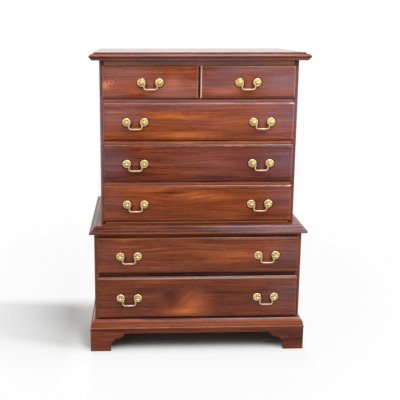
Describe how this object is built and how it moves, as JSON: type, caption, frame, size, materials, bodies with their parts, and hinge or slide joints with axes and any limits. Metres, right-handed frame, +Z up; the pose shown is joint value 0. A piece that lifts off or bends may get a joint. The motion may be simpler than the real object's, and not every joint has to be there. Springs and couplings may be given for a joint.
{
  "type": "chest on chest",
  "caption": "Mahogany chest on chest: lipped drawers with brass swan-neck bail pulls, a moulded waist and a scrolled bracket base.",
  "frame": {"origin": "on the floor, in the middle of the chest's outline in width and depth", "axes": "+Z up, the drawer fronts face -Y, +X to the viewer's right"},
  "size_m": [0.958, 0.5072, 1.331],
  "materials": {
    "case_mahogany": "polished red-brown mahogany, semi-gloss shellac or lacquer",
    "drawer_mahogany": "polished mahogany veneer with a lively horizontal figure, semi-gloss",
    "secondary_wood": "plain unpolished oak or poplar, dry and matt",
    "brass": "polished cast brass, lightly worn"
  },
  "bodies": {
    "lower_case": {"lower_side_left": "case_mahogany", "lower_side_right": "case_mahogany", "lower_back": "secondary_wood", "lower_bottom": "secondary_wood", "lower_top": "secondary_wood", "lower_rails": "case_mahogany", "lower_runners": "secondary_wood", "base_moulding": "case_mahogany", "waist_moulding": "case_mahogany", "bracket_base": "case_mahogany", "glue_blocks": "secondary_wood"},
    "upper_case": {"upper_side_left": "case_mahogany", "upper_side_right": "case_mahogany", "upper_back": "secondary_wood", "upper_bottom": "secondary_wood", "upper_rails": "case_mahogany", "upper_runners": "secondary_wood", "upper_divider": "case_mahogany", "upper_top": "case_mahogany", "cornice_moulding": "case_mahogany"},
    "small_left_drawer": {"small_left_drawer_front": "drawer_mahogany", "small_left_drawer_box": "secondary_wood", "small_left_drawer_bottom_panel": "secondary_wood", "small_left_drawer_pull_fixings": "brass"},
    "small_left_drawer_bail": {"small_left_drawer_bail": "brass"},
    "small_right_drawer": {"small_right_drawer_front": "drawer_mahogany", "small_right_drawer_box": "secondary_wood", "small_right_drawer_bottom_panel": "secondary_wood", "small_right_drawer_pull_fixings": "brass"},
    "small_right_drawer_bail": {"small_right_drawer_bail": "brass"},
    "second_drawer": {"second_drawer_front": "drawer_mahogany", "second_drawer_box": "secondary_wood", "second_drawer_bottom_panel": "secondary_wood", "second_drawer_pull_fixings": "brass"},
    "second_drawer_left_bail": {"second_drawer_left_bail": "brass"},
    "second_drawer_right_bail": {"second_drawer_right_bail": "brass"},
    "third_drawer": {"third_drawer_front": "drawer_mahogany", "third_drawer_box": "secondary_wood", "third_drawer_bottom_panel": "secondary_wood", "third_drawer_pull_fixings": "brass"},
    "third_drawer_left_bail": {"third_drawer_left_bail": "brass"},
    "third_drawer_right_bail": {"third_drawer_right_bail": "brass"},
    "fourth_drawer": {"fourth_drawer_front": "drawer_mahogany", "fourth_drawer_box": "secondary_wood", "fourth_drawer_bottom_panel": "secondary_wood", "fourth_drawer_pull_fixings": "brass"},
    "fourth_drawer_left_bail": {"fourth_drawer_left_bail": "brass"},
    "fourth_drawer_right_bail": {"fourth_drawer_right_bail": "brass"},
    "fifth_drawer": {"fifth_drawer_front": "drawer_mahogany", "fifth_drawer_box": "secondary_wood", "fifth_drawer_bottom_panel": "secondary_wood", "fifth_drawer_pull_fixings": "brass"},
    "fifth_drawer_left_bail": {"fifth_drawer_left_bail": "brass"},
    "fifth_drawer_right_bail": {"fifth_drawer_right_bail": "brass"},
    "sixth_drawer": {"sixth_drawer_front": "drawer_mahogany", "sixth_drawer_box": "secondary_wood", "sixth_drawer_bottom_panel": "secondary_wood", "sixth_drawer_pull_fixings": "brass"},
    "sixth_drawer_left_bail": {"sixth_drawer_left_bail": "brass"},
    "sixth_drawer_right_bail": {"sixth_drawer_right_bail": "brass"}
  },
  "joints": [
    {"name": "upper_case_lift", "type": "slide", "parent": "lower_case", "child": "upper_case", "axis": [0, 0, 1], "range_m": [0, 0.06]},
    {"name": "small_left_drawer_slide", "type": "slide", "parent": "upper_case", "child": "small_left_drawer", "axis": [0, -1, 0], "range_m": [0, 0.3]},
    {"name": "small_left_drawer_bail_hinge", "type": "hinge", "parent": "small_left_drawer", "child": "small_left_drawer_bail", "pos_m": [-0.209, -0.2084, 1.20275], "axis": [-1, 0, 0], "range_deg": [-16, 160]},
    {"name": "small_right_drawer_slide", "type": "slide", "parent": "upper_case", "child": "small_right_drawer", "axis": [0, -1, 0], "range_m": [0, 0.3]},
    {"name": "small_right_drawer_bail_hinge", "type": "hinge", "parent": "small_right_drawer", "child": "small_right_drawer_bail", "pos_m": [0.209, -0.2084, 1.20275], "axis": [-1, 0, 0], "range_deg": [-16, 160]},
    {"name": "second_drawer_slide", "type": "slide", "parent": "upper_case", "child": "second_drawer", "axis": [0, -1, 0], "range_m": [0, 0.3]},
    {"name": "second_drawer_left_bail_hinge", "type": "hinge", "parent": "second_drawer", "child": "second_drawer_left_bail", "pos_m": [-0.274, -0.2084, 1.03175], "axis": [-1, 0, 0], "range_deg": [-16, 160]},
    {"name": "second_drawer_right_bail_hinge", "type": "hinge", "parent": "second_drawer", "child": "second_drawer_right_bail", "pos_m": [0.274, -0.2084, 1.03175], "axis": [-1, 0, 0], "range_deg": [-16, 160]},
    {"name": "third_drawer_slide", "type": "slide", "parent": "upper_case", "child": "third_drawer", "axis": [0, -1, 0], "range_m": [0, 0.3]},
    {"name": "third_drawer_left_bail_hinge", "type": "hinge", "parent": "third_drawer", "child": "third_drawer_left_bail", "pos_m": [-0.274, -0.2084, 0.84825], "axis": [-1, 0, 0], "range_deg": [-16, 160]},
    {"name": "third_drawer_right_bail_hinge", "type": "hinge", "parent": "third_drawer", "child": "third_drawer_right_bail", "pos_m": [0.274, -0.2084, 0.84825], "axis": [-1, 0, 0], "range_deg": [-16, 160]},
    {"name": "fourth_drawer_slide", "type": "slide", "parent": "upper_case", "child": "fourth_drawer", "axis": [0, -1, 0], "range_m": [0, 0.3]},
    {"name": "fourth_drawer_left_bail_hinge", "type": "hinge", "parent": "fourth_drawer", "child": "fourth_drawer_left_bail", "pos_m": [-0.274, -0.2084, 0.66475], "axis": [-1, 0, 0], "range_deg": [-16, 160]},
    {"name": "fourth_drawer_right_bail_hinge", "type": "hinge", "parent": "fourth_drawer", "child": "fourth_drawer_right_bail", "pos_m": [0.274, -0.2084, 0.66475], "axis": [-1, 0, 0], "range_deg": [-16, 160]},
    {"name": "fifth_drawer_slide", "type": "slide", "parent": "lower_case", "child": "fifth_drawer", "axis": [0, -1, 0], "range_m": [0, 0.32]},
    {"name": "fifth_drawer_left_bail_hinge", "type": "hinge", "parent": "fifth_drawer", "child": "fifth_drawer_left_bail", "pos_m": [-0.304, -0.2484, 0.442], "axis": [-1, 0, 0], "range_deg": [-16, 160]},
    {"name": "fifth_drawer_right_bail_hinge", "type": "hinge", "parent": "fifth_drawer", "child": "fifth_drawer_right_bail", "pos_m": [0.304, -0.2484, 0.442], "axis": [-1, 0, 0], "range_deg": [-16, 160]},
    {"name": "sixth_drawer_slide", "type": "slide", "parent": "lower_case", "child": "sixth_drawer", "axis": [0, -1, 0], "range_m": [0, 0.32]},
    {"name": "sixth_drawer_left_bail_hinge", "type": "hinge", "parent": "sixth_drawer", "child": "sixth_drawer_left_bail", "pos_m": [-0.304, -0.2484, 0.246], "axis": [-1, 0, 0], "range_deg": [-16, 160]},
    {"name": "sixth_drawer_right_bail_hinge", "type": "hinge", "parent": "sixth_drawer", "child": "sixth_drawer_right_bail", "pos_m": [0.304, -0.2484, 0.246], "axis": [-1, 0, 0], "range_deg": [-16, 160]}
  ]
}
